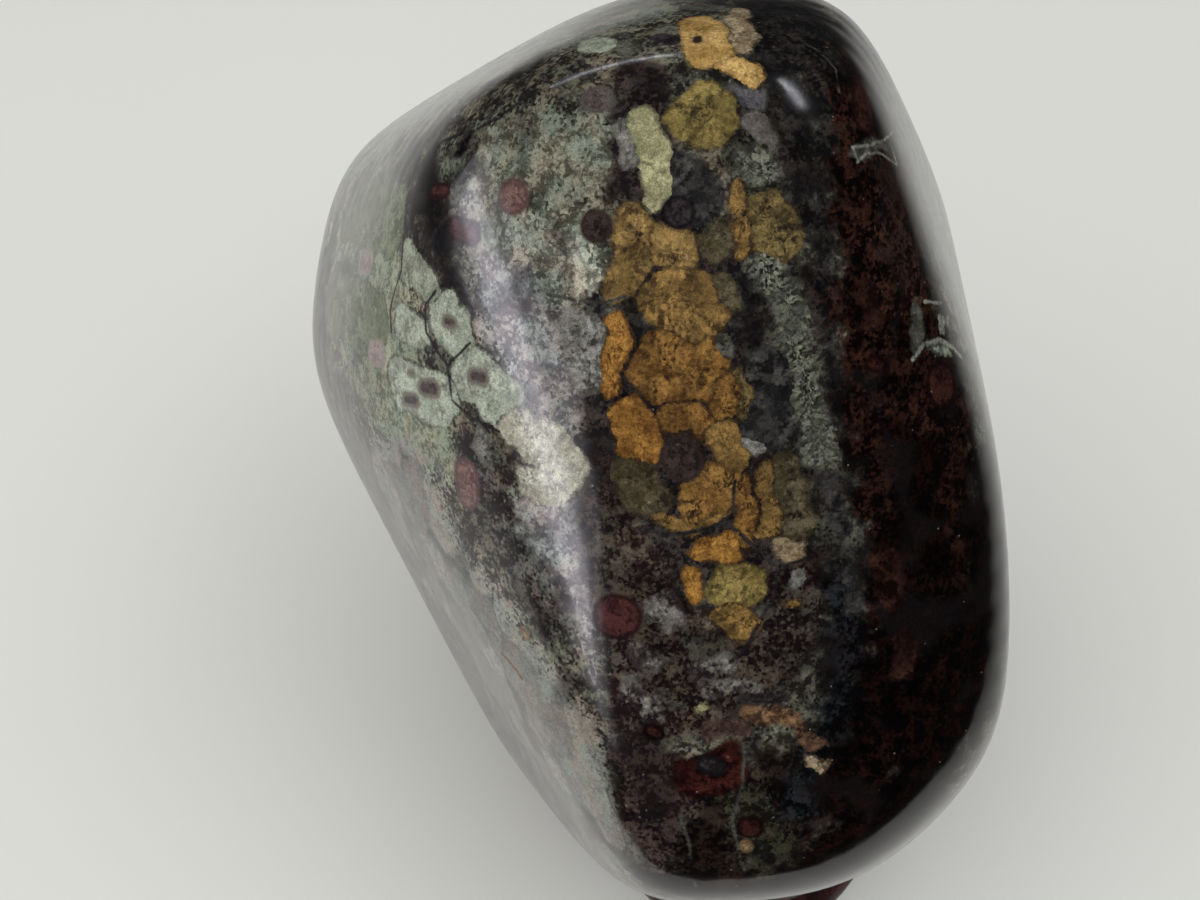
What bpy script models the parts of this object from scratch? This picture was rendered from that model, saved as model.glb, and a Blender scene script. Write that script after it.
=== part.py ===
"""Polished orbicular jasper viewing stone, standing upright in the small dark wooden stand that was cut for it.

Metres, +Z up. The stone's broad face looks toward -Y. The origin is on the surface that the stand rests on,
below the middle of the whole.
"""

import math

import bmesh
import bpy
from mathutils import Matrix, Vector

MM = 0.001

# The stone's flat places, in its own upright frame: how far each is turned from straight ahead toward the
# right hand, how far it faces upward, both in degrees, and how far it lies from the stone's middle.
STONE_FACES = {
    "front": (26, 20, 61 * MM),
    "front below": (0, 13, 58.2 * MM),
    "front above": (-8, 31, 67.3 * MM),
    "left flank": (-63, -17, 42.6 * MM),
    "left ridge": (-44, 8, 52.6 * MM),
    "left corner": (-78, 19, 56.9 * MM),
    "upper left": (-111, 56, 66.4 * MM),
    "top": (147, 88, 74.8 * MM),
    "right shoulder": (83, 24, 49.8 * MM),
    "right flank": (88, 2, 43.8 * MM),
    "lower right": (50, -26, 63.3 * MM),
    "toe": (3, -48, 64.2 * MM),
    "toe below": (-15, -75, 85.7 * MM),
    "underside": (180, -65, 65.7 * MM),
    "heel": (179, -35, 56.8 * MM),
    "sole left": (-52, -62, 59.6 * MM),
    "sole right": (108, -48, 69.4 * MM),
    "back": (179, -8, 41.7 * MM),
    "back left": (-127, -30, 43 * MM),
    "back right": (132, -19, 55.3 * MM),
    "back above": (158, 37, 53.4 * MM),
}
STONE_EDGE_SHARPNESS = 16
STONE_LEAN = math.radians(25)
STONE_REST_FLAT = 1.2 * MM
STONE_SUBDIVISIONS = 5

STAND_WIDTH = 56 * MM
STAND_DEPTH = 76 * MM
STAND_HEIGHT = 24 * MM
STAND_RIM_RADIUS = 4 * MM
STAND_FOOT_RADIUS = 3 * MM
STAND_WAIST_INSET = 5 * MM
STAND_WAIST_HEIGHT = 10 * MM
STAND_SIDES = 64
STAND_RIM_STEPS = 6
STAND_FOOT_STEPS = 5
STAND_MIDDLE = (13 * MM, -8.5 * MM)
SOCKET_DEPTH = 7 * MM
FIT_GAP = 0.35 * MM

MERGE_DISTANCE = 0.02 * MM
SHARP_EDGE_ANGLE = math.radians(35)


def clear_scene():
    for item in list(bpy.data.objects):
        bpy.data.objects.remove(item, do_unlink=True)


def new_collection(name):
    collection = bpy.data.collections.new(name)
    bpy.context.scene.collection.children.link(collection)
    return collection


def new_material(name, colour, roughness):
    material = bpy.data.materials.new(name)
    material.use_nodes = True
    shader = material.node_tree.nodes["Principled BSDF"]
    shader.inputs["Base Color"].default_value = (*colour, 1.0)
    shader.inputs["Roughness"].default_value = roughness
    shader.inputs["Metallic"].default_value = 0.0
    return material


def facing(turn, rise):
    """The unit direction that is turned toward +X from straight ahead (-Y) and raised, both in degrees."""
    turn = math.radians(turn)
    rise = math.radians(rise)
    return Vector((math.sin(turn) * math.cos(rise), -math.cos(turn) * math.cos(rise), math.sin(rise)))


def stone_radius(direction, faces):
    """How far the stone's surface is from its middle: where its flat places meet, with rounded edges."""
    crowding = 0.0
    for normal, distance in faces:
        crowding += max(0.0, normal.dot(direction) / distance) ** STONE_EDGE_SHARPNESS
    return crowding ** (-1 / STONE_EDGE_SHARPNESS)


def make_stone(name, swelling):
    """The stone about its own middle, leaning back, with each of its flat places moved out by the swelling."""
    faces = [(facing(turn, rise), distance + swelling) for turn, rise, distance in STONE_FACES.values()]
    shape = bmesh.new()
    bmesh.ops.create_icosphere(shape, subdivisions=STONE_SUBDIVISIONS, radius=1.0)
    for vertex in shape.verts:
        direction = vertex.co.normalized()
        vertex.co = direction * stone_radius(direction, faces)
    bmesh.ops.transform(shape, matrix=Matrix.Rotation(-STONE_LEAN, 4, "X"), verts=shape.verts)
    mesh = bpy.data.meshes.new(name)
    shape.to_mesh(mesh)
    shape.free()
    return mesh


def lowest(mesh):
    return min(vertex.co.z for vertex in mesh.vertices)


def flatten_below(mesh, height):
    for vertex in mesh.vertices:
        vertex.co.z = max(vertex.co.z, height)


def arc(middle, radius, first, last, steps):
    """Points of an arc in the profile's plane, with its angles in degrees."""
    points = []
    for step in range(steps + 1):
        angle = math.radians(first + (last - first) * step / steps)
        points.append((middle[0] + radius * math.cos(angle), middle[1] + radius * math.sin(angle)))
    return points


def stand_profile():
    """Half of the stand's section, from its top down its outer side to its underside."""
    half = STAND_WIDTH / 2
    rim = (half - STAND_RIM_RADIUS, STAND_HEIGHT - STAND_RIM_RADIUS)
    foot = (half - STAND_FOOT_RADIUS, STAND_FOOT_RADIUS)
    waist_top = (half - STAND_RIM_RADIUS, STAND_HEIGHT - 2 * STAND_RIM_RADIUS)
    waist = (half - STAND_WAIST_INSET, STAND_WAIST_HEIGHT)
    waist_low = (half - STAND_FOOT_RADIUS, 2 * STAND_FOOT_RADIUS)
    points = [(0.0, STAND_HEIGHT)]
    points += arc(rim, STAND_RIM_RADIUS, 90, -90, STAND_RIM_STEPS)
    points += [((waist_top[0] + waist[0]) / 2, (waist_top[1] + waist[1]) / 2), waist]
    points += [((waist_low[0] + waist[0]) / 2, (waist_low[1] + waist[1]) / 2)]
    points += arc(foot, STAND_FOOT_RADIUS, 90, -90, STAND_FOOT_STEPS)
    points += [(0.0, 0.0)]
    return points


def make_stand_blank(name, collection):
    """The stand before its socket is cut: a moulded round, drawn out into an oval from front to back."""
    mesh = bpy.data.meshes.new(name + "_profile")
    points = [(x, 0.0, z) for x, z in stand_profile()]
    mesh.from_pydata(points, [(i, i + 1) for i in range(len(points) - 1)], [])
    blank = bpy.data.objects.new(name, mesh)
    collection.objects.link(blank)
    turned = blank.modifiers.new("Turned", "SCREW")
    turned.axis = "Z"
    turned.steps = STAND_SIDES
    turned.render_steps = STAND_SIDES
    turned.use_merge_vertices = True
    turned.merge_threshold = MERGE_DISTANCE
    bpy.context.view_layer.update()
    evaluated = blank.evaluated_get(bpy.context.evaluated_depsgraph_get())
    solid = bpy.data.meshes.new_from_object(evaluated)
    blank.modifiers.clear()
    blank.data = solid
    solid.transform(Matrix.Diagonal((1.0, STAND_DEPTH / STAND_WIDTH, 1.0, 1.0)))
    return blank


def cut(target, cutter):
    boolean = target.modifiers.new("Cut by " + cutter.name, "BOOLEAN")
    boolean.operation = "DIFFERENCE"
    boolean.solver = "EXACT"
    boolean.object = cutter


def shade_round(mesh):
    mesh.shade_smooth()
    mesh.set_sharp_from_angle(angle=SHARP_EDGE_ANGLE)


def middle_of(meshes):
    """The middle of the meshes' common box, seen from above."""
    xs = [vertex.co.x for mesh in meshes for vertex in mesh.vertices]
    ys = [vertex.co.y for mesh in meshes for vertex in mesh.vertices]
    return Vector(((min(xs) + max(xs)) / 2, (min(ys) + max(ys)) / 2, 0.0))


def main():
    clear_scene()
    parts = new_collection("viewing_stone")
    cutters = new_collection("cutters")

    stone_mesh = make_stone("stone", 0.0)
    rest = lowest(stone_mesh) + STONE_REST_FLAT
    flatten_below(stone_mesh, rest)
    socket_mesh = make_stone("socket_cutter", FIT_GAP)
    flatten_below(socket_mesh, rest - FIT_GAP)
    to_stand = Matrix.Translation((0.0, 0.0, STAND_HEIGHT - SOCKET_DEPTH + FIT_GAP - rest))
    stone_mesh.transform(to_stand)
    socket_mesh.transform(to_stand)

    stand = make_stand_blank("stand", parts)
    stand.data.transform(Matrix.Translation((*STAND_MIDDLE, 0.0)))

    centring = Matrix.Translation(-middle_of([stone_mesh, stand.data]))
    for mesh in (stone_mesh, socket_mesh, stand.data):
        mesh.transform(centring)

    stone = bpy.data.objects.new("stone", stone_mesh)
    parts.objects.link(stone)
    socket = bpy.data.objects.new("socket_cutter", socket_mesh)
    socket.hide_render = True
    socket.display_type = "WIRE"
    cutters.objects.link(socket)
    cut(stand, socket)

    for item in (stone, stand):
        shade_round(item.data)
    stone.data.materials.append(new_material("polished_jasper", (0.055, 0.045, 0.038), 0.16))
    stand.data.materials.append(new_material("dark_rosewood", (0.022, 0.006, 0.007), 0.38))


main()
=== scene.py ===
import math
import random

import bmesh
import bpy
import numpy as np
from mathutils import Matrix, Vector
from mathutils.bvhtree import BVHTree


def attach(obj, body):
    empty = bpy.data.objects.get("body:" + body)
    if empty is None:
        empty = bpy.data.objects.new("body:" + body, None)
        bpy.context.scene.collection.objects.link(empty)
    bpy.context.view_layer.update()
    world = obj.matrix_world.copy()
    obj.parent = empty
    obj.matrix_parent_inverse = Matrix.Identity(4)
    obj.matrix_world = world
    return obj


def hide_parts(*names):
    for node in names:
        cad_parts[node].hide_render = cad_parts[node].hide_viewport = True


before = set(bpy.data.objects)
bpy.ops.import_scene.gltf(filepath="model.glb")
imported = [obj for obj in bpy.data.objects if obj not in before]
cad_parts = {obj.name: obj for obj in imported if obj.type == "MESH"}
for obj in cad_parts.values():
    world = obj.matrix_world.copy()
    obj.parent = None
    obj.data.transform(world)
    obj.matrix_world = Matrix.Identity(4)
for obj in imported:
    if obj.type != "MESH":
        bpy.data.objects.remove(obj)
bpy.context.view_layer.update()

# The camera: held in the hand above the table's edge, looking steeply down onto the stone's broad face, with
# a lens a little longer than normal. Its picture is 1200 x 900 points, and the markings are placed in it.
MM = 0.001
STONE_MIDDLE = Vector((6.12, 4.18, 80.85)) * MM
VIEW_ELEVATION = math.radians(55)
VIEW_DISTANCE = 265 * MM
LENS = 52.0
SENSOR_WIDTH = 36.0
PICTURE_WIDTH = 1200
PICTURE_MIDDLE = (600, 450)
STONE_IN_PICTURE = (681.1, 467.2)

toward_camera = Vector((0.0, -math.cos(VIEW_ELEVATION), math.sin(VIEW_ELEVATION)))
picture_right = Vector((1.0, 0.0, 0.0))
picture_up = Vector((0.0, math.sin(VIEW_ELEVATION), math.cos(VIEW_ELEVATION)))
point_spread = SENSOR_WIDTH / LENS / PICTURE_WIDTH


def seen_direction(point):
    """The way from the camera to what lies at a point of the picture."""
    across = (point[0] - PICTURE_MIDDLE[0]) * point_spread
    up = (PICTURE_MIDDLE[1] - point[1]) * point_spread
    return picture_right * across + picture_up * up - toward_camera


camera_data = bpy.data.cameras.new("camera")
camera_data.lens = LENS
camera_data.sensor_width = SENSOR_WIDTH
camera = bpy.data.objects.new("camera", camera_data)
bpy.context.scene.collection.objects.link(camera)
camera.location = STONE_MIDDLE - seen_direction(STONE_IN_PICTURE) * VIEW_DISTANCE
camera.rotation_euler = (math.pi / 2 - VIEW_ELEVATION, 0.0, 0.0)
bpy.context.scene.camera = camera
bpy.context.scene.view_settings.view_transform = "Standard"


# The studio: a plain pale floor under soft light from above. A long low window on the left puts the sheen on
# the stone's left ridge, and two strips put the glints on its top. The other lights are kept off the polish,
# and so is the floor that lies in front of the table's edge.
FLOOR_REACH = 3.0
TABLE_EDGE = -0.16
MIRRORED_REACH = 0.7
MIRRORED_BRIGHT = 0.15
MIRRORED_DARK = 0.58
MIRROR_GAP = 0.2 * MM
FLOOR_PAINT = "#e6e7e2"
MIRRORED_PAINT = "#dfdfdc"
SHADED_PAINT = "#2c2c2c"
PAINT_ROUGHNESS = 0.7
ROOM_COLOUR = "#c8ccd2"
ROOM_LIGHT = 0.03
LIGHT_REACH = 1.3

# Each light's way from the stone in degrees, turned from the front toward the right and raised, its width
# and height in metres, watts, colour and whether it is mirrored in the polish, lights what is matt, or both.
LIGHTS = {
    "overhead": (-40, 75, 2.0, 2.0, 21.5, "#fffefb", "matt"),
    "right fill": (80, 48, 1.6, 1.2, 6.0, "#f9fcff", "matt"),
    "window": (-68, 7, 1.5, 0.24, 4.0, "#f3f0fb", "both"),
    "window glow": (-70, 10, 2.0, 0.62, 4.2, "#f3f0fb", "both"),
    "back strip": (-162, 34, 0.55, 0.05, 0.5, "#f4f6ff", "mirrored"),
    "top strip": (118, 61, 0.5, 0.09, 1.1, "#f4f6ff", "mirrored"),
}


def linear(hex_colour):
    """An sRGB colour as linear red, green, blue and alpha."""
    values = [int(hex_colour[i:i + 2], 16) / 255 for i in (1, 3, 5)]
    return (*[v / 12.92 if v <= 0.04045 else ((v + 0.055) / 1.055) ** 2.4 for v in values], 1.0)


def add_node(kind, inputs=None, **settings):
    """Adds a node to the present tree. An input is a value, a socket, or a node for its first live output."""
    node = tree.nodes.new("ShaderNode" + kind)
    for name, value in settings.items():
        setattr(node, name, value)
    live = [socket for socket in node.inputs if socket.enabled]
    for name, value in (inputs or {}).items():
        socket = live[name] if isinstance(name, int) else next(s for s in live if s.name == name)
        if isinstance(value, bpy.types.Node):
            value = next(output for output in value.outputs if output.enabled)
        if isinstance(value, bpy.types.NodeSocket):
            tree.links.new(value, socket)
        else:
            socket.default_value = value
    return node


def add_light(name, turn, rise, width, height, watts, colour, use):
    """A rectangular light that faces the stone from afar."""
    data = bpy.data.lights.new(name, "AREA")
    data.shape = "RECTANGLE"
    data.size = width
    data.size_y = height
    data.energy = watts
    data.color = linear(colour)[:3]
    light = bpy.data.objects.new(name, data)
    bpy.context.scene.collection.objects.link(light)
    turn = math.radians(turn)
    rise = math.radians(rise)
    way = Vector((math.sin(turn) * math.cos(rise), -math.cos(turn) * math.cos(rise), math.sin(rise)))
    light.location = STONE_MIDDLE + way * LIGHT_REACH
    light.rotation_euler = (-way).to_track_quat("-Z", "Y").to_euler()
    light.visible_glossy = use != "matt"
    light.visible_diffuse = use != "mirrored"


def add_flat(name, low, high, height, paint):
    """A level rectangle in a paint."""
    mesh = bpy.data.meshes.new(name)
    corners = [(low[0], low[1]), (high[0], low[1]), (high[0], high[1]), (low[0], high[1])]
    mesh.from_pydata([(x, y, height) for x, y in corners], [], [(0, 1, 2, 3)])
    flat = bpy.data.objects.new(name, mesh)
    bpy.context.scene.collection.objects.link(flat)
    mesh.materials.append(paint)
    return flat


floor_paint = bpy.data.materials.new("floor_paint")
floor_paint.use_nodes = True
shader = floor_paint.node_tree.nodes["Principled BSDF"]
shader.inputs["Base Color"].default_value = linear(FLOOR_PAINT)
shader.inputs["Roughness"].default_value = PAINT_ROUGHNESS

# The paint of the floor that the polish mirrors: bright near the stone, with painted shade farther off.
shaded_paint = bpy.data.materials.new("shaded_floor_paint")
shaded_paint.use_nodes = True
tree = shaded_paint.node_tree
floor_place = add_node("TexCoord").outputs["Object"]
away = add_node("VectorMath", {0: floor_place}, operation="LENGTH")
shade = add_node("MapRange", {"Value": away, "From Min": MIRRORED_BRIGHT, "From Max": MIRRORED_DARK},
                 interpolation_type="SMOOTHSTEP")
paint = add_node("Mix", {"Factor": shade, "A": linear(MIRRORED_PAINT), "B": linear(SHADED_PAINT)},
                 data_type="RGBA")
shader = tree.nodes["Principled BSDF"]
tree.links.new(paint.outputs[2], shader.inputs["Base Color"])
shader.inputs["Roughness"].default_value = PAINT_ROUGHNESS

floor = add_flat("floor", (-FLOOR_REACH, -FLOOR_REACH), (FLOOR_REACH, FLOOR_REACH), 0.0, floor_paint)
floor.visible_glossy = False
mirrored_low = (-MIRRORED_REACH, TABLE_EDGE)
mirrored_high = (MIRRORED_REACH, MIRRORED_REACH)
mirrored_floor = add_flat("mirrored_floor", mirrored_low, mirrored_high, MIRROR_GAP, shaded_paint)
mirrored_floor.visible_camera = False
mirrored_floor.visible_diffuse = False
mirrored_floor.visible_shadow = False

for light_name, light in LIGHTS.items():
    add_light(light_name, *light)

world = bpy.data.worlds.new("room")
bpy.context.scene.world = world
world.use_nodes = True
world.node_tree.nodes["Background"].inputs["Color"].default_value = linear(ROOM_COLOUR)
world.node_tree.nodes["Background"].inputs["Strength"].default_value = ROOM_LIGHT


# The stone: one pebble of orbicular jasper, ground and polished all over. Round spherulites of many colours
# grew in it until they met, with a dark seam between them, in a ground of speckled quartz. The solid's facets
# are smoothed here, and the markings are laid onto the fine mesh.
SMOOTHING = 2
MERGE_DISTANCE = 0.01 * MM


def merged_copy(node, name):
    """A copy of a solid, with its loose triangles joined at their corners."""
    merged = bmesh.new()
    merged.from_mesh(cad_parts[node].data)
    bmesh.ops.remove_doubles(merged, verts=merged.verts, dist=MERGE_DISTANCE)
    mesh = bpy.data.meshes.new(name)
    merged.to_mesh(mesh)
    merged.free()
    copy = bpy.data.objects.new(name, mesh)
    bpy.context.scene.collection.objects.link(copy)
    return copy


stone = merged_copy("stone", "polished_stone")
smoothing = stone.modifiers.new("smoothing", "SUBSURF")
smoothing.levels = SMOOTHING
smoothing.render_levels = SMOOTHING
bpy.context.view_layer.update()
stone_mesh = bpy.data.meshes.new_from_object(stone.evaluated_get(bpy.context.evaluated_depsgraph_get()))
stone.modifiers.clear()
stone.data = stone_mesh
stone_mesh.shade_smooth()

vertex_places = np.empty(len(stone_mesh.vertices) * 3, np.float32)
stone_mesh.vertices.foreach_get("co", vertex_places)
vertex_places = vertex_places.reshape(-1, 3).astype(float) / MM
face_places = np.empty(len(stone_mesh.polygons) * 3, np.float32)
stone_mesh.polygons.foreach_get("center", face_places)
face_places = face_places.reshape(-1, 3).astype(float) / MM
stone_tree = BVHTree.FromPolygons(
    [vertex.co for vertex in stone_mesh.vertices], [list(face.vertices) for face in stone_mesh.polygons]
)


def on_stone(point):
    """Where the camera sees a point of the picture on the stone, in millimetres, or what is nearest to it."""
    way = seen_direction(point).normalized()
    place = stone_tree.ray_cast(camera.location, way)[0]
    if place is None:
        beside = camera.location + way * VIEW_DISTANCE
        place = stone_tree.find_nearest(beside)[0]
    return np.array(place) / MM


def picture_length(points, place):
    """A length of the picture, in millimetres on the stone at a place."""
    return points * point_spread * (camera.location / MM - Vector(place)).dot(toward_camera)


# The ground between the cells: dark and light mottling, how much of it is light, and the lines along which it
# lies in the picture, each point with its reach to both sides. A later row lies over an earlier one.
GROUNDS = {
    "grey mottled": ("#241f1d", "#6f6a60", 0.47, ()),
    "sage": ("#505246", "#878a7a", 0.52, (
        ((345, 150, 45), (360, 250, 55), (375, 350, 50), (410, 430, 40), (440, 460, 24)),
    )),
    "upper grey": ("#65645d", "#8a8a81", 0.52, (
        ((420, 110, 45), (500, 60, 50), (590, 20, 45), (650, 10, 25)),
    )),
    "mottled grey": ("#413f38", "#7f8076", 0.5, (
        ((470, 160, 40), (540, 150, 48), (590, 150, 38)),
        ((500, 230, 45), (560, 250, 52), (580, 320, 44)),
    )),
    "lilac": ("#4a474a", "#928f8f", 0.49, (
        ((500, 290, 34), (540, 350, 44), (560, 400, 34)),
        ((520, 520, 26), (560, 560, 34), (585, 620, 16)),
    )),
    "pale mottled": ("#5f5c57", "#a5a39a", 0.5, (
        ((520, 232, 20), (562, 260, 30), (588, 292, 20)),
    )),
    "flank": ("#6b6663", "#807e79", 0.52, (
        ((400, 470, 36), (436, 560, 36), (500, 660, 50), (562, 760, 50), (606, 850, 30)),
    )),
    "flank edge": ("#1b1617", "#625d5b", 0.46, (
        ((466, 450, 12), (496, 505, 17), (523, 560, 18), (560, 625, 14)),
    )),
    "plum": ("#151114", "#3f3837", 0.46, (
        ((640, 90, 26), (640, 150, 30), (660, 220, 40), (700, 260, 50), (700, 330, 62), (690, 430, 70),
         (700, 520, 58), (740, 580, 44)),
        ((600, 310, 18), (622, 340, 20), (608, 400, 18), (600, 470, 16)),
    )),
    "speckled dark": ("#180e10", "#504842", 0.47, (
        ((600, 500, 22), (612, 560, 30), (650, 620, 48), (650, 700, 46), (700, 690, 52), (760, 660, 44),
         (800, 620, 36), (800, 560, 26)),
    )),
    "low dark": ("#0b0506", "#2b211d", 0.46, (
        ((625, 760, 20), (640, 810, 26), (690, 820, 52), (760, 810, 60), (830, 780, 52), (860, 720, 30)),
        ((660, 870, 22), (730, 880, 26), (800, 870, 24)),
    )),
    "low maroon": ("#1b1012", "#4b403d", 0.47, (
        ((630, 700, 14), (640, 750, 24), (665, 800, 32), (650, 860, 22)),
    )),
    "low green": ("#12100c", "#37342b", 0.48, (
        ((735, 780, 20), (760, 830, 30), (790, 880, 26)),
    )),
    "navy": ("#050507", "#25262b", 0.46, (
        ((838, 560, 12), (846, 620, 20), (850, 680, 30), (836, 750, 36), (800, 800, 26)),
    )),
    "column": ("#161411", "#4b4a43", 0.47, (
        ((752, 100, 18), (752, 160, 22), (772, 230, 22), (790, 310, 17), (804, 390, 14), (820, 460, 14),
         (832, 510, 10), (842, 550, 6)),
    )),
    "dark band": ("#0b090b", "#2e2a2a", 0.46, (
        ((765, 10, 30), (775, 60, 26), (795, 110, 22), (800, 170, 20), (806, 230, 12)),
        ((800, 20, 38), (822, 80, 34), (832, 150, 24)),
        ((746, 256, 13), (750, 300, 15), (757, 350, 13), (778, 400, 10), (798, 450, 9), (812, 500, 8)),
        ((612, 302, 9), (636, 312, 14), (634, 350, 11), (622, 398, 12)),
        ((413, 150, 11), (424, 190, 15), (438, 232, 17), (452, 270, 12), (462, 300, 6)),
        ((466, 140, 10), (464, 172, 9)),
        ((822, 170, 14), (828, 300, 17), (834, 380, 13), (850, 450, 10), (862, 520, 12), (872, 600, 10)),
    )),
    "maroon": ("#050101", "#301c17", 0.45, (
        ((860, 40, 30), (868, 130, 40), (880, 220, 50), (896, 330, 62), (915, 430, 68), (925, 540, 62),
         (925, 640, 56), (915, 710, 44)),
    )),
    "maroon deep": ("#020000", "#190b09", 0.45, (
        ((905, 440, 18), (920, 560, 34), (925, 640, 48), (900, 720, 50), (850, 790, 30)),
        ((990, 470, 26), (990, 600, 34), (968, 690, 40), (912, 790, 42), (840, 860, 38), (760, 900, 24)),
    )),
    "brown-red": ("#120606", "#3f2a24", 0.48, (
        ((902, 180, 22), (902, 240, 26), (900, 292, 18)),
    )),
    "upper right rim": ("#1f1e1a", "#5c5c52", 0.48, (
        ((905, 110, 8), (932, 190, 12), (948, 260, 12), (956, 300, 10)),
    )),
}

# How deep each vertex lies inside each ground, as the camera sees it.
ground_depths = {}
picture_axes = np.array([picture_right, picture_up]).T
vertices_in_view = vertex_places @ picture_axes
for ground, (dark, light, share, lines) in GROUNDS.items():
    depth = np.full(len(vertices_in_view), -np.inf)
    for line in lines:
        spots = [on_stone(point[:2]) for point in line]
        reaches = [picture_length(point[2], spot) for point, spot in zip(line, spots)]
        spots = [spot @ picture_axes for spot in spots]
        for one, other, first, last in zip(spots, spots[1:], reaches, reaches[1:]):
            way = other - one
            along = np.clip((vertices_in_view - one) @ way / (way @ way), 0.0, 1.0)
            gap = np.linalg.norm(vertices_in_view - one - along[:, None] * way, axis=1)
            depth = np.maximum(depth, first + (last - first) * along - gap)
    if lines:
        ground_depths[ground] = depth
        layer = stone_mesh.attributes.new("ground " + ground, "FLOAT", "POINT")
        layer.data.foreach_set("value", depth.astype(np.float32))

# What a cell is like: its dark and its light mottling, and its wall; how much of it is light, how much of the
# mottling is fibres that stand across the cell, how dark its core is and how strong the seam around it is.
CELL_KINDS = {
    "orange": ("#4f3218", "#a97b3c", "#5a3d1e", 0.53, 0.6, 0.02, 0.8),
    "cap orange": ("#7d6138", "#c6a568", "#8f6c38", 0.55, 0.3, 0.02, 0.6),
    "flower": ("#2f231a", "#8f6c3a", "#6e5029", 0.5, 0.9, 0.0, 0.4),
    "golden": ("#3b2c19", "#977744", "#463821", 0.52, 0.6, 0.03, 0.8),
    "brown": ("#302014", "#8c6836", "#4d341b", 0.52, 0.6, 0.04, 0.8),
    "ochre": ("#33261a", "#967a49", "#4e3f22", 0.52, 0.5, 0.02, 0.7),
    "mustard": ("#352d1b", "#8d7c49", "#5f532c", 0.51, 0.4, 0.03, 0.6),
    "gold olive": ("#272018", "#7c6b42", "#453b23", 0.5, 0.6, 0.04, 0.7),
    "olive": ("#211d17", "#5f5743", "#3f3826", 0.49, 0.2, 0.02, 0.5),
    "russet": ("#251610", "#65472c", "#4a301c", 0.5, 0.3, 0.0, 0.6),
    "sage": ("#5e6153", "#9a9f8c", "#787c6c", 0.54, 0.0, 0.0, 0.7),
    "deep sage": ("#454a39", "#737a62", "#595f4b", 0.52, 0.0, 0.0, 0.6),
    "mint": ("#6e7064", "#a5ac9a", "#82897a", 0.54, 0.1, 0.0, 0.7),
    "grey green": ("#24231f", "#6c6c61", "#45453c", 0.48, 0.2, 0.0, 0.4),
    "slate": ("#151415", "#4c4a47", "#232223", 0.47, 0.1, 0.0, 0.3),
    "crystal": ("#6a6760", "#bcbba8", "#8d8b78", 0.52, 0.6, 0.0, 0.4),
    "silver": ("#37342f", "#8b8a82", "#5d5b55", 0.5, 0.0, 0.0, 0.0),
    "tan": ("#3a2f26", "#b3a386", "#6b5a43", 0.52, 0.5, 0.0, 0.4),
    "yellow green": ("#605d45", "#a9a780", "#7a7859", 0.54, 0.2, 0.0, 0.2),
    "fibrous": ("#1c1d18", "#7b7c6e", "#40423a", 0.48, 1.0, 0.0, 0.3),
    "lilac": ("#2f2c2f", "#6d6a6d", "#3f3c3f", 0.49, 0.1, 0.0, 0.3),
    "taupe": ("#45413d", "#6f6a63", "#4c4843", 0.5, 0.1, 0.0, 0.3),
    "plum": ("#141014", "#393338", "#1d191e", 0.48, 0.0, 0.0, 0.2),
    "pink sparkle": ("#170c09", "#836649", "#45302a", 0.48, 0.0, 0.0, 0.0),
    "haze": ("#2c201c", "#594740", "#3b2d28", 0.5, 0.0, 0.0, 0.0),
    "white speckle": ("#1d1517", "#7f7c74", "#37302f", 0.47, 0.0, 0.0, 0.0),
    "oxblood": ("#0d0403", "#3a241d", "#140706", 0.48, 0.0, 0.02, 0.15),
    "deep red": ("#100404", "#3f1e1a", "#1a0807", 0.5, 0.0, 0.0, 0.3),
}

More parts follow.
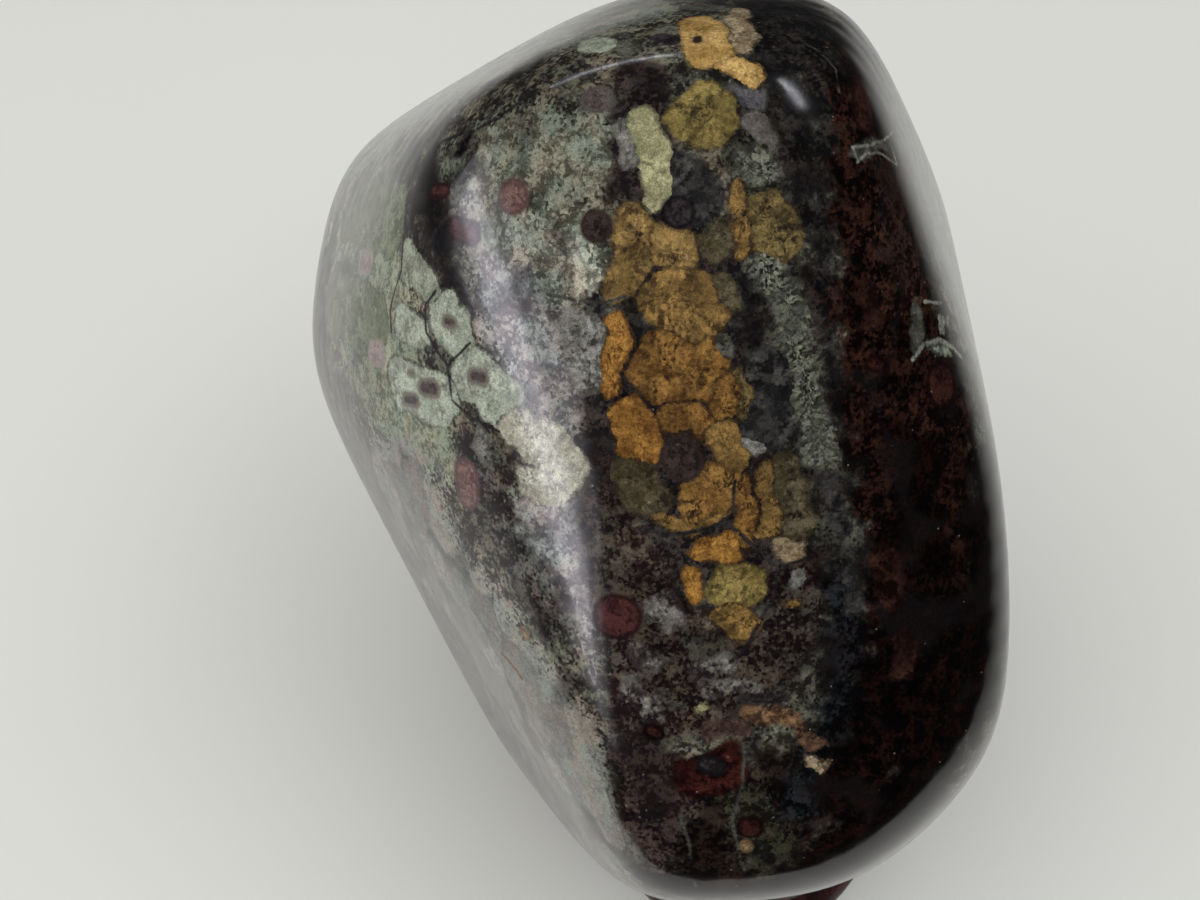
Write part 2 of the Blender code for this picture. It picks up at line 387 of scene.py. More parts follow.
# The cells as seen: what kind, how far they reach to each side of the line through their points, and these.
CELLS = {
    "cap spot": ("mint", 16, (592, 42), (608, 44)),
    "cap grey-green": ("grey green", 13, (619, 36), (629, 48)),
    "cap plum": ("plum", 12, (660, 36), (674, 42)),
    "cap sage": ("grey green", 9, (686, 8), (726, 10)),
    "cap orange": ("cap orange", 23, (698, 22), (710, 52)),
    "cap streaks": ("tan", 12, (736, 12), (742, 44)),
    "below the cap": ("cap orange", 15, (728, 62), (750, 72)),
    "column top": ("lilac", 13, (741, 95), (755, 96)),
    "smooth column": ("taupe", 15, (752, 121), (760, 134)),
    "mottled column": ("fibrous", 19, (748, 168), (760, 174)),
    "olive orb": ("mustard", 34, (699, 112), (701, 117)),
    "green streak": ("yellow green", 18, (645, 122), (650, 158), (660, 194)),
    "beside the green streak": ("silver", 9, (624, 126), (628, 160)),
    "above the black round": ("slate", 26, (688, 178), (704, 206)),
    "upper left lobe": ("ochre", 20, (636, 224), (620, 284)),
    "upper middle lobe": ("ochre", 20, (658, 240), (682, 256)),
    "olive lobe": ("olive", 16, (712, 245), (724, 236)),
    "golden streak": ("golden", 9, (740, 184), (741, 215), (744, 250)),
    "right orb": ("gold olive", 26, (772, 221), (776, 245)),
    "upper orb": ("golden", 33, (668, 300), (696, 305)),
    "beside the upper orb": ("olive", 17, (722, 285), (722, 302)),
    "middle orb": ("brown", 37, (666, 369), (694, 369)),
    "grey wedge": ("grey green", 12, (716, 346), (722, 354)),
    "russet wedge": ("brown", 17, (722, 388), (722, 402)),
    "orange crescent": ("orange", 13, (613, 326), (616, 355), (611, 382)),
    "flower left petal": ("orange", 25, (630, 420), (637, 445)),
    "flower top petal": ("brown", 18, (672, 420), (702, 426)),
    "flower right petal": ("golden", 20, (728, 438), (733, 450)),
    "flower lower petal": ("flower", 25, (724, 484), (696, 502)),
    "flower green petal": ("olive", 24, (634, 470), (643, 496)),
    "flower rim": ("golden", 7, (640, 512), (662, 525), (692, 527), (720, 514)),
    "brown sliver": ("brown", 13, (744, 480), (746, 538)),
    "golden sliver": ("golden", 11, (768, 470), (770, 500), (768, 530)),
    "sliver end": ("tan", 13, (785, 545), (795, 546)),
    "yellow wedge": ("gold olive", 10, (744, 372), (747, 412)),
    "white blob": ("silver", 9, (754, 436), (758, 444)),
    "slate wedge": ("slate", 27, (768, 378), (772, 425)),
    "olive wedge": ("olive", 19, (788, 468), (796, 524)),
    "column upper": ("fibrous", 20, (770, 264), (780, 290), (792, 320)),
    "column fibres": ("fibrous", 18, (788, 340), (798, 356), (804, 374)),
    "column white": ("crystal", 4, (790, 385), (814, 384)),
    "column middle": ("fibrous", 16, (806, 396), (814, 425), (824, 458)),
    "column low": ("slate", 10, (828, 482), (836, 512), (842, 530)),
    "column foot": ("slate", 8, (850, 570), (854, 610)),
    "lower orb top": ("orange", 17, (704, 550), (728, 551)),
    "lower orb left": ("orange", 13, (692, 583), (695, 594)),
    "lower orb middle": ("mustard", 25, (734, 584), (748, 584)),
    "lower orb foot": ("golden", 20, (732, 618), (744, 628)),
    "grey bead": ("silver", 8, (797, 572), (797, 580)),
    "golden bead": ("golden", 8, (798, 605), (799, 606)),
    "sage upper": ("deep sage", 35, (352, 205), (392, 220)),
    "sage left": ("deep sage", 34, (332, 300), (372, 322)),
    "sage seam side": ("sage", 22, (408, 262), (426, 284)),
    "pale neck": ("mint", 18, (402, 322), (418, 334)),
    "oval cell": ("mint", 28, (404, 388), (442, 400)),
    "eyed cell": ("mint", 28, (444, 320), (456, 330)),
    "second eyed cell": ("mint", 33, (474, 378), (496, 398)),
    "pale bit": ("silver", 10, (480, 440), (484, 444)),
    "crystal patch": ("crystal", 25, (516, 424), (530, 440)),
    "crystal patch middle": ("crystal", 28, (550, 446), (562, 470)),
    "crystal patch foot": ("crystal", 17, (530, 482), (556, 492)),
    "beside the crescent": ("silver", 22, (580, 330), (584, 372)),
    "pink sparkle": ("pink sparkle", 11, (752, 712), (790, 720)),
    "pink sparkle right": ("pink sparkle", 10, (800, 730), (816, 744)),
    "pink haze": ("haze", 12, (712, 728), (738, 730)),
    "deep red orb": ("deep red", 27, (694, 774), (722, 768)),
    "white speckle": ("white speckle", 14, (660, 602), (670, 620)),
    "white speckle low": ("white speckle", 15, (634, 684), (652, 716)),
    "white speckle above": ("white speckle", 10, (636, 650), (652, 664)),
    "white speckle left": ("white speckle", 10, (556, 588), (566, 612)),
    "white speckle right": ("white speckle", 12, (700, 672), (728, 664)),
    "white speckle bottom": ("white speckle", 9, (712, 690), (756, 686)),
    "tan spot": ("tan", 8, (810, 763), (818, 768)),
    "green spot": ("yellow green", 6, (703, 703), (704, 704)),
    "upper figure": ("grey green", 7, (856, 153), (884, 151)),
    "right figure": ("grey green", 8, (917, 312), (918, 346)),
    "right figure arm": ("mint", 4, (928, 344), (950, 350)),
    "right figure bead": ("sage", 6, (941, 318), (944, 330)),
    "thin red patch": ("oxblood", 9, (868, 300), (872, 316)),
    "low red patch": ("oxblood", 14, (884, 560), (890, 600)),
    "lower red patch": ("oxblood", 12, (905, 640), (900, 668)),
}

# Round eyes inside and between the cells: the dark and light of the middle, and the ring.
EYE_KINDS = {
    "faint eye": ("#3d3433", "#5a524e", "#4b4643"),
    "grey eye": ("#39302f", "#4f4645", "#746f65"),
    "pink eye": ("#756863", "#8f827c", "#827b71"),
    "rose eye": ("#4f3937", "#765c56", "#4a3937"),
    "red eye": ("#2a1416", "#4a2b2a", "#1a0e0f"),
    "black eye": ("#181517", "#352f31", "#0f0c0e"),
    "umber eye": ("#1c1716", "#3d3230", "#2c2320"),
    "oxblood eye": ("#170908", "#351d18", "#080303"),
    "cream eye": ("#6f5b43", "#aa9570", "#56432f"),
}
EYES = {
    "cell eye": ("grey eye", 8, (446, 322), (453, 323)),
    "second cell eye": ("grey eye", 10, (474, 376), (482, 378)),
    "oval eye": ("grey eye", 11, (424, 388), (434, 389)),
    "small oval eye": ("grey eye", 9, (407, 400), (415, 401)),
    "tiny eye": ("grey eye", 4, (409, 372), (413, 373)),
    "pink oval": ("pink eye", 13, (362, 262), (369, 263)),
    "low pink oval": ("pink eye", 14, (373, 354), (380, 355)),
    "small red": ("red eye", 9, (434, 190), (446, 191)),
    "deep red oval": ("red eye", 14, (456, 228), (471, 234)),
    "rose orb": ("rose eye", 19, (513, 195), (513, 197)),
    "faint rose orb": ("faint eye", 17, (596, 100), (598, 100)),
    "grey round": ("umber eye", 17, (597, 226), (597, 228)),
    "black round": ("black eye", 17, (678, 212), (679, 214)),
    "cap core": ("umber eye", 5, (697, 38), (697, 41)),
    "flower eye": ("umber eye", 21, (680, 456), (684, 463)),
    "dull red oval": ("rose eye", 18, (467, 475), (467, 493)),
    "red low": ("red eye", 24, (614, 616), (620, 617)),
    "deep red core": ("black eye", 11, (706, 763), (716, 766)),
    "small red low": ("oxblood eye", 9, (651, 731), (656, 733)),
    "small dark low": ("oxblood eye", 13, (750, 827), (752, 829)),
    "top right orb": ("oxblood eye", 19, (863, 90), (864, 118)),
    "right orb": ("oxblood eye", 22, (942, 383), (942, 388)),
    "reddish patch": ("oxblood eye", 9, (872, 364), (880, 364)),
    "cream spot": ("cream eye", 6, (524, 632), (526, 635)),
    "low cream spot": ("cream eye", 7, (747, 845), (748, 847)),
}

# Seams, veins and scratches: dark and light.
SEAM_KINDS = {
    "dark seam": ("#1a1718", "#302c2b"),
    "pale vein": ("#5b5c54", "#8b8c82"),
    "grey vein": ("#2c2b27", "#484741"),
    "golden scratch": ("#7b5632", "#a58351"),
    "rust": ("#3c2612", "#6b4b26"),
}
SEAMS = {
    "upper left seam": ("dark seam", 2.6, (461, 133), (474, 131), (500, 117), (520, 103), (532, 76),
                        (543, 55)),
    "upper left branch": ("dark seam", 2.4, (417, 175), (424, 161), (442, 142), (461, 134)),
    "left seam": ("dark seam", 2, (412, 214), (403, 241), (401, 270), (390, 310), (391, 331)),
    "cell seam": ("dark seam", 1.8, (435, 291), (425, 306), (426, 333), (447, 365), (452, 400), (470, 418),
                  (500, 432)),
    "cell seam branch": ("dark seam", 1.5, (452, 359), (470, 343)),
    "cell seam top": ("dark seam", 1.5, (456, 294), (472, 308)),
    "sage V": ("pale vein", 1.7, (573, 235), (587, 271), (589, 294)),
    "sage vein": ("grey vein", 2, (548, 294), (576, 301), (605, 301), (626, 297)),
    "lower vein": ("dark seam", 2.4, (639, 528), (666, 535), (705, 529), (724, 522), (737, 532), (756, 547),
                   (777, 568), (775, 595), (762, 618), (749, 645), (731, 662)),
    "lower vein branch": ("dark seam", 2, (777, 568), (806, 557)),
    "flower vein": ("dark seam", 2, (735, 480), (731, 514), (724, 522)),
    "scratch": ("golden scratch", 0.8, (711, 323), (702, 352)),
    "left thread": ("pale vein", 2.5, (438, 444), (440, 465), (444, 485)),
    "long thread": ("pale vein", 1.1, (577, 602), (578, 625), (586, 664), (594, 683)),
    "low thread": ("grey vein", 1.5, (606, 789), (619, 821), (635, 862)),
    "golden mark": ("rust", 3.2, (502, 653), (513, 666), (521, 678)),
    "upper figure": ("pale vein", 1.5, (853, 147), (872, 146), (884, 141), (892, 131)),
    "upper figure arm": ("pale vein", 1.3, (890, 141), (896, 163)),
    "upper figure foot": ("pale vein", 1.3, (858, 163), (866, 154), (878, 154), (896, 165)),
    "upper figure end": ("pale vein", 1.3, (852, 147), (859, 161)),
    "right figure": ("grey vein", 2.4, (916, 298), (914, 330), (915, 358)),
    "right figure top": ("pale vein", 1.8, (925, 303), (941, 302)),
    "right figure bead": ("pale vein", 4, (943, 319), (942, 328)),
    "right figure arc": ("pale vein", 2.4, (913, 359), (923, 345), (939, 340), (953, 347), (962, 357)),
    "top right arcs": ("grey vein", 1.6, (805, 43), (820, 52), (836, 70), (840, 91)),
    "soft vein": ("grey vein", 1.8, (745, 752), (741, 789), (733, 821), (745, 870)),
    "soft vein left": ("grey vein", 1.6, (680, 813), (690, 850), (696, 886)),
    "dark streak": ("dark seam", 6, (744, 699), (785, 697)),
    "chip": ("dark seam", 1.3, (968, 761), (955, 785), (942, 804)),
}

# The sides that the camera doesn't see carry marks of the same kinds, scattered over them, each of a kind
# that belongs to the ground that it lies on. Their reaches and the lengths of their lines are in millimetres.
UNSEEN_SEED = 11
UNSEEN_SPACING = 5.5
UNSEEN_CELLS = 120
UNSEEN_EYES = 34
UNSEEN_SEAMS = 40
CELL_REACHES = (2.0, 4.6)
EYE_REACHES = (1.0, 2.8)
SEAM_REACHES = (0.15, 0.4)
CELL_RUN = 3.5
EYE_RUN = 0.6
SEAM_RUNS = (7, 9)
SCATTERED = {
    "grey mottled": (("grey green", "silver", "olive", "mustard", "sage"), ("black eye", "faint eye"),
                     "dark seam"),
    "sage": (("sage", "mint", "sage", "grey green"), ("grey eye", "pink eye"), "dark seam"),
    "upper grey": (("grey green", "silver", "lilac"), ("rose eye", "black eye"), "dark seam"),
    "mottled grey": (("silver", "grey green", "mint"), ("red eye", "black eye"), "pale vein"),
    "lilac": (("silver", "lilac", "crystal"), ("rose eye",), "pale vein"),
    "flank": (("silver", "taupe"), ("rose eye", "cream eye"), "pale vein"),
    "plum": (("golden", "brown", "orange", "gold olive", "olive"), ("black eye", "umber eye"), "dark seam"),
    "speckled dark": (("gold olive", "silver", "slate"), ("red eye", "cream eye"), "pale vein"),
    "low dark": (("slate", "haze", "oxblood"), ("red eye", "cream eye"), "grey vein"),
    "column": (("fibrous", "grey green", "taupe"), ("black eye",), "dark seam"),
    "maroon": (("oxblood", "oxblood", "slate"), ("oxblood eye", "red eye"), "grey vein"),
    "maroon deep": (("oxblood", "oxblood", "pink sparkle"), ("oxblood eye", "red eye"), "grey vein"),
}

scatter = random.Random(UNSEEN_SEED)
hidden_faces = []
for face in stone_mesh.polygons:
    way = face.center - camera.location
    hit = stone_tree.ray_cast(camera.location, way.normalized())[0]
    if hit is None or (hit - face.center).length > MM:
        hidden_faces.append(face.index)
scatter.shuffle(hidden_faces)


def spread_faces(count, spacing):
    """Hidden faces that lie apart from one another by at least the spacing."""
    chosen = []
    for face in hidden_faces:
        place = face_places[face]
        if all(np.linalg.norm(place - face_places[other]) > spacing for other in chosen):
            chosen.append(face)
        if len(chosen) == count:
            break
    return chosen


def kinds_at(face):
    """The kinds of marks that belong to the ground under a face."""
    corner = stone_mesh.polygons[face].vertices[0]
    found = "grey mottled"
    for ground, depth in ground_depths.items():
        if depth[corner] > 0 and ground in SCATTERED:
            found = ground
    return SCATTERED[found]


def beside(face, reach):
    """A place on the stone about that far from a face, to a side picked at random."""
    way = Vector([scatter.uniform(-1, 1) for axis in range(3)]).normalized()
    return np.array(stone_tree.find_nearest(Vector(face_places[face]) * MM + way * reach * MM)[0]) / MM


for number, face in enumerate(spread_faces(UNSEEN_CELLS, UNSEEN_SPACING)):
    reach = scatter.uniform(*CELL_REACHES)
    kind = scatter.choice(kinds_at(face)[0])
    CELLS[f"unseen {number}"] = (kind, reach, face_places[face], beside(face, CELL_RUN))
for number, face in enumerate(spread_faces(UNSEEN_CELLS, UNSEEN_SPACING)[::-1][:UNSEEN_EYES]):
    reach = scatter.uniform(*EYE_REACHES)
    kind = scatter.choice(kinds_at(face)[1])
    EYES[f"unseen {number}"] = (kind, reach, face_places[face], beside(face, EYE_RUN))
for number, face in enumerate(hidden_faces[:UNSEEN_SEAMS]):
    reach = scatter.uniform(*SEAM_REACHES)
    kind = kinds_at(face)[2]
    ends = [beside(face, run) for run in SEAM_RUNS]
    SEAMS[f"unseen {number}"] = (kind, reach, ends[0], face_places[face], ends[1])


def nearest_marks(marks, kinds, name, count):
    """Gives each face the marks nearest to it: each one's start, run, reach, kind and 1 / length squared."""
    kind_names = list(kinds)
    gaps, starts, runs, measures = [], [], [], []
    for kind, reach, *points in marks.values():
        spots = [on_stone(point) if len(point) == 2 else point for point in points]
        reach = picture_length(reach, spots[0]) if len(points[0]) == 2 else reach
        best = np.full(len(face_places), np.inf)
        start = np.zeros_like(face_places)
        run = np.zeros_like(face_places)
        inverse_square = np.zeros(len(face_places))
        for one, other in zip(spots, spots[1:]):
            way = other - one
            inverse = 1.0 / (way @ way)
            along = np.clip((face_places - one) @ way * inverse, 0.0, 1.0)
            gap = np.linalg.norm(face_places - one - along[:, None] * way, axis=1) - reach
            closer = gap < best
            best = np.where(closer, gap, best)
            start[closer] = one
            run[closer] = way
            inverse_square[closer] = inverse
        measure = np.empty_like(face_places)
        measure[:, 0] = reach
        measure[:, 1] = (kind_names.index(kind) + 0.5) / len(kinds)
        measure[:, 2] = inverse_square
        gaps.append(best)
        starts.append(start)
        runs.append(run)
        measures.append(measure)
    order = np.argsort(np.array(gaps), axis=0)[:count]
    every = np.arange(len(face_places))
    for rank in range(count):
        for what, values in (("start", starts), ("run", runs), ("measure", measures)):
            layer = stone_mesh.attributes.new(f"{name} {rank} {what}", "FLOAT_VECTOR", "FACE")
            picked = np.array(values)[order[rank], every]
            layer.data.foreach_set("vector", picked.astype(np.float32).ravel())


CELLS_COMPARED = 3
EYES_COMPARED = 1
SEAMS_COMPARED = 2
nearest_marks(CELLS, CELL_KINDS, "cell", CELLS_COMPARED)
nearest_marks(EYES, EYE_KINDS, "eye", EYES_COMPARED)
nearest_marks(SEAMS, SEAM_KINDS, "seam", SEAMS_COMPARED)


# Jasper: fine quartz full of iron and clay, cut and then polished with ever finer grit, so it takes a gloss
# like glass, and its grains are a little sharper or duller than their neighbours where light glances off.
QUARTZ_IOR = 1.54

# What the patterns measure, in millimetres: grains, lumps and fibres, and how far they move or blur an edge.
GRAIN_SIZE = 0.42
GRAIN_REACH = 1.2
GRIT_SIZE = 0.2
CLOUD_SIZE = 2.4
PATCH_SIZE = 4.0
GHOST_SIZE = 7.0
WANDER_SIZE = 5.0
WANDER_REACH = 3.6
TREMBLE_SIZE = 1.1
TREMBLE_REACH = 0.7
GROUND_EDGE_SIZE = 4.0
GROUND_EDGE_REACH = 4.0
FIBRE_WIDTH = 0.36
FIBRE_TURNS = 6.0
WALL_WIDTH = 0.34
MARK_SOFTNESS = 0.3
VEIN_SOFTNESS = 0.15
WAVE_SIZE = 9.0
WAVE_HEIGHT = 0.05

# Shares: how much of one pattern is in another, and how soft, how wide or how rare its bits are.
GRAIN_STEP = 0.6
GRAIN_IN_SPECKLE = 0.24
GRAIN_IN_CELL = 0.1
SPECKLE_IN_FIBRES = 0.12
SPECKLE_SOFTNESS = 0.11
EYE_WANDER = 0.22
FLAW_REACH = 0.32
CLEAR_GRAIN = 0.93

DARK_BETWEEN_GHOSTS = "#151113"
DARK_BETWEEN_CELLS = "#171214"
FLAW_COLOUR = "#a29c92"
COOL_TINT = (0.9, 1.0, 0.93, 1.0)
WARM_TINT = (1.05, 1.0, 0.89, 1.0)

jasper = bpy.data.materials.new("polished_jasper")
jasper.use_nodes = True
tree = jasper.node_tree


def moved_by_noise(place, size, reach):
    """The place, moved about by noise whose lumps are size wide, all in millimetres."""
    lumps = add_node("TexNoise", {"Vector": place, "Scale": 1 / size, "Detail": 1.0})
    shift = add_node("VectorMath", {0: lumps.outputs["Color"], 1: (0.5, 0.5, 0.5)}, operation="SUBTRACT")
    return add_node("VectorMath", {0: shift, 1: (reach, reach, reach), 2: place}, operation="MULTIPLY_ADD")


def mark_at(place, name):
    """A mark as seen from a place: how far outside it the place is, its kind, and its nearest point."""
    layers = [add_node("Attribute", attribute_name=f"{name} {what}")
              for what in ("start", "run", "measure")]
    start, run, measure = [layer.outputs["Vector"] for layer in layers]
    reach, kind, inverse_square = add_node("SeparateXYZ", {0: measure}).outputs
    offset = add_node("VectorMath", {0: place, 1: start}, operation="SUBTRACT")
    shadow = add_node("VectorMath", {0: offset, 1: run}, operation="DOT_PRODUCT")
    along = add_node("Math", {0: shadow, 1: inverse_square}, operation="MULTIPLY", use_clamp=True)
    reached = add_node("VectorMath", {"Vector": run, "Scale": along}, operation="SCALE")
    nearest = add_node("VectorMath", {0: start, 1: reached}, operation="ADD")
    distance = add_node("VectorMath", {0: place, 1: nearest}, operation="DISTANCE")
    gap = add_node("Math", {0: distance, 1: reach}, operation="SUBTRACT")
    return gap, kind, nearest


def nearest_of(place, name, count):
    """The nearest of a few marks, and the gap to the second nearest."""
    gap, kind, nearest = mark_at(place, f"{name} 0")
    second = None
    for rank in range(1, count):
        other_gap, other_kind, other_nearest = mark_at(place, f"{name} {rank}")
        is_nearer = add_node("Math", {0: other_gap, 1: gap}, operation="LESS_THAN")
        farther = add_node("Math", {0: gap, 1: other_gap}, operation="MAXIMUM")
        if second is None:
            second = farther
        else:
            second = add_node("Math", {0: second, 1: farther}, operation="MINIMUM")
        kind = add_node("Mix", {"Factor": is_nearer, "A": kind, "B": other_kind})
        nearest = add_node("Mix", {"Factor": is_nearer, "A": nearest, "B": other_nearest},
                           data_type="VECTOR")
        gap = add_node("Math", {0: gap, 1: other_gap}, operation="MINIMUM")
    return gap, kind, nearest, second


def of_kind(kind, values):
    """The value that belongs to the kind: a colour, or a group of four measures."""
    steps = add_node("ValToRGB", {"Fac": kind})
    steps.color_ramp.interpolation = "CONSTANT"
    elements = steps.color_ramp.elements
    elements[1].position = 1.0 / len(values)
    for step in range(2, len(values)):
        elements.new(step / len(values))
    for element, value in zip(elements, values):
        element.color = linear(value) if isinstance(value, str) else value
    return steps.outputs


def speckled(dark, light, share, pattern):
    """Dark and light by the speckle's pattern: a share of 0.5 makes about half of it light."""
    low = add_node("Math", {0: 1.0 - SPECKLE_SOFTNESS, 1: share}, operation="SUBTRACT")
    high = add_node("Math", {0: 1.0 + SPECKLE_SOFTNESS, 1: share}, operation="SUBTRACT")
    is_light = add_node("MapRange", {"Value": pattern, "From Min": low, "From Max": high},
                        interpolation_type="SMOOTHSTEP")
    return add_node("Mix", {"Factor": is_light, "A": dark, "B": light}, data_type="RGBA")


def laid_over(below, above, gap, softness):
    """A mark's colour over what is below it, where the gap to it is under zero."""
    inside = add_node("MapRange", {"Value": gap, "From Min": softness, "From Max": -softness},
                      interpolation_type="SMOOTHSTEP")
    return add_node("Mix", {"Factor": inside, "A": below, "B": above}, data_type="RGBA")


metres = add_node("TexCoord").outputs["Object"]
place = add_node("VectorMath", {"Vector": metres, "Scale": 1 / MM}, operation="SCALE")

# The quartz grains, each of its own tone. The edges of all marks step from grain to grain.
grains = add_node("TexVoronoi", {"Vector": place, "Scale": 1 / GRAIN_SIZE})
grained = add_node("Mix", {"Factor": GRAIN_STEP, "A": place, "B": grains.outputs["Position"]},
                   data_type="VECTOR")
from_grain_middle = grains.outputs["Distance"]
grains = grains.outputs["Color"]
trembling = moved_by_noise(grained, TREMBLE_SIZE, TREMBLE_REACH)
wandering = moved_by_noise(trembling, WANDER_SIZE, WANDER_REACH)

# The speckle: clouds of those grains.
clouds = add_node("TexNoise", {"Vector": place, "Scale": 1 / CLOUD_SIZE, "Detail": 4.0, "Roughness": 0.64})
speckle = add_node("Mix", {"Factor": GRAIN_IN_SPECKLE, "A": clouds, "B": grains})
soft_speckle = add_node("Mix", {"Factor": GRAIN_IN_CELL, "A": clouds, "B": grains})
patches = add_node("TexNoise", {"Vector": trembling, "Scale": 1 / PATCH_SIZE, "Detail": 2.0})

# The grounds, each over the one before.
edge_noise = add_node("TexNoise",
                      {"Vector": place, "Scale": 1 / GROUND_EDGE_SIZE, "Detail": 3.0, "Roughness": 0.65})
edge_shift = add_node("MapRange",
                      {"Value": edge_noise, "To Min": -GROUND_EDGE_REACH, "To Max": GROUND_EDGE_REACH})
grain_shift = add_node("MapRange", {"Value": grains, "To Min": -GRAIN_REACH, "To Max": GRAIN_REACH})
for ground, (dark, light, share, lines) in GROUNDS.items():
    if not lines:
        ground_dark, ground_light, ground_share = linear(dark), linear(light), share
        continue
    depth = add_node("Attribute", attribute_name="ground " + ground).outputs["Fac"]
    depth = add_node("Math", {0: depth, 1: edge_shift}, operation="ADD")
    depth = add_node("Math", {0: depth, 1: grain_shift}, operation="ADD")
    inside = add_node("MapRange", {"Value": depth, "From Min": -1.0, "From Max": 1.0},
                      interpolation_type="SMOOTHSTEP")
    ground_dark = add_node("Mix", {"Factor": inside, "A": ground_dark, "B": linear(dark)}, data_type="RGBA")
    ground_light = add_node("Mix", {"Factor": inside, "A": ground_light, "B": linear(light)},
                            data_type="RGBA")
    ground_share = add_node("Mix", {"Factor": inside, "A": ground_share, "B": share})
colour = speckled(ground_dark, ground_light, ground_share, speckle)

# Faint ghosts of cells in the grounds, each a little lighter or darker than the next, with dark ground where
# they meet, and iron that tints one place warm while the next is cool.
ghosts = add_node("TexVoronoi", {"Vector": wandering, "Scale": 1 / GHOST_SIZE})
ghost_tone = add_node("MapRange", {"Value": ghosts.outputs["Color"], "From Min": 0.2,
                                   "From Max": 0.8, "To Min": 0.72, "To Max": 1.25})
colour = add_node("VectorMath", {"Vector": colour, "Scale": ghost_tone}, operation="SCALE")
ghost_rim = add_node("MapRange",
                     {"Value": ghosts.outputs["Distance"], "From Min": 0.58, "From Max": 0.78, "To Max": 0.6},
                     interpolation_type="SMOOTHSTEP")
colour = add_node("Mix", {"Factor": ghost_rim, "A": colour, "B": linear(DARK_BETWEEN_GHOSTS)},
                  data_type="RGBA")
tint_amount = add_node("MapRange", {"Value": patches, "From Min": 0.42, "From Max": 0.58},
                       interpolation_type="SMOOTHSTEP")
tint = add_node("Mix", {"Factor": tint_amount, "A": COOL_TINT, "B": WARM_TINT}, data_type="RGBA")
colour = add_node("VectorMath", {0: colour, 1: tint}, operation="MULTIPLY")

# The cells, with fibres that stand across their lines, dark cores, walls and the seams between them.
gap, kind, nearest, second_gap = nearest_of(wandering, "cell", CELLS_COMPARED)
darks, lights, walls = [[values[i] for values in CELL_KINDS.values()] for i in range(3)]
measures = of_kind(kind, [values[3:] for values in CELL_KINDS.values()])
share, fibrousness, core = add_node("SeparateColor", {0: measures[0]}).outputs
outward = add_node("VectorMath", {0: wandering, 1: nearest}, operation="SUBTRACT")
outward = add_node("VectorMath", {0: outward}, operation="NORMALIZE")
turn_size = FIBRE_TURNS * FIBRE_WIDTH
fibre_place = add_node("VectorMath", {0: outward, 1: (turn_size, turn_size, turn_size), 2: nearest},
                       operation="MULTIPLY_ADD")
fibres = add_node("TexNoise",
                  {"Vector": fibre_place, "Scale": 1 / FIBRE_WIDTH / 2, "Detail": 2.0, "Roughness": 0.6})
fibres = add_node("Mix", {"Factor": SPECKLE_IN_FIBRES, "A": fibres, "B": soft_speckle})
cell_pattern = add_node("Mix", {"Factor": fibrousness, "A": soft_speckle, "B": fibres})
deep = add_node("MapRange", {"Value": gap, "From Min": -1.0, "From Max": -5.0},
                interpolation_type="SMOOTHSTEP")
darker = add_node("Math", {0: deep, 1: core}, operation="MULTIPLY")
share = add_node("Math", {0: share, 1: darker}, operation="SUBTRACT")
cell_colour = speckled(of_kind(kind, darks)[0], of_kind(kind, lights)[0], share, cell_pattern)
near_wall = add_node("MapRange", {"Value": gap, "From Min": -1.2, "From Max": -0.2, "To Max": 0.4},
                     interpolation_type="SMOOTHSTEP")
in_patch = add_node("MapRange", {"Value": patches, "From Min": 0.42, "From Max": 0.6, "To Max": 0.65},
                    interpolation_type="SMOOTHSTEP")
near_wall = add_node("Math", {0: near_wall, 1: in_patch}, operation="MAXIMUM")
cell_colour = add_node("Mix", {"Factor": near_wall, "A": cell_colour, "B": of_kind(kind, walls)[0]},
                       data_type="RGBA")
velvet = add_node("MapRange", {"Value": grains, "To Min": 0.74, "To Max": 1.24})
cell_colour = add_node("VectorMath", {"Vector": cell_colour, "Scale": velvet}, operation="SCALE")
colour = laid_over(colour, cell_colour, gap, MARK_SOFTNESS)
between = add_node("Math", {0: second_gap, 1: gap}, operation="SUBTRACT")
between = add_node("Math", {0: between, 1: 0.5}, operation="MULTIPLY")
edge = add_node("Math", {0: gap}, operation="ABSOLUTE")
edge = add_node("Math", {0: edge, 1: between}, operation="MINIMUM")
on_seam = add_node("MapRange", {"Value": edge, "From Min": WALL_WIDTH, "From Max": 0.0},
                   interpolation_type="SMOOTHSTEP")
by_cell = add_node("MapRange", {"Value": gap, "From Min": 0.5, "From Max": 0.2},
                   interpolation_type="SMOOTHSTEP")
on_seam = add_node("Math", {0: on_seam, 1: by_cell}, operation="MULTIPLY")
worn = add_node("MapRange", {"Value": edge_noise, "From Min": 0.36, "From Max": 0.56, "To Min": 0.35})
on_seam = add_node("Math", {0: on_seam, 1: worn}, operation="MULTIPLY")
on_seam = add_node("Math", {0: on_seam, 1: measures[1]}, operation="MULTIPLY")
colour = add_node("Mix", {"Factor": on_seam, "A": colour, "B": linear(DARK_BETWEEN_CELLS)},
                  data_type="RGBA")

# The eyes with their rings, and the seams and veins over everything. They wander less than the cells.
calmer = add_node("Mix", {"Factor": EYE_WANDER, "A": place, "B": wandering}, data_type="VECTOR")
gap, kind = nearest_of(calmer, "eye", EYES_COMPARED)[:2]
darks, lights, rings = [[values[i] for values in EYE_KINDS.values()] for i in range(3)]
eye_colour = speckled(of_kind(kind, darks)[0], of_kind(kind, lights)[0], 0.5, speckle)
near_ring = add_node("MapRange", {"Value": gap, "From Min": -0.9, "From Max": -0.3, "To Max": 0.8},
                     interpolation_type="SMOOTHSTEP")
eye_colour = add_node("Mix", {"Factor": near_ring, "A": eye_colour, "B": of_kind(kind, rings)[0]},
                      data_type="RGBA")
colour = laid_over(colour, eye_colour, gap, MARK_SOFTNESS)

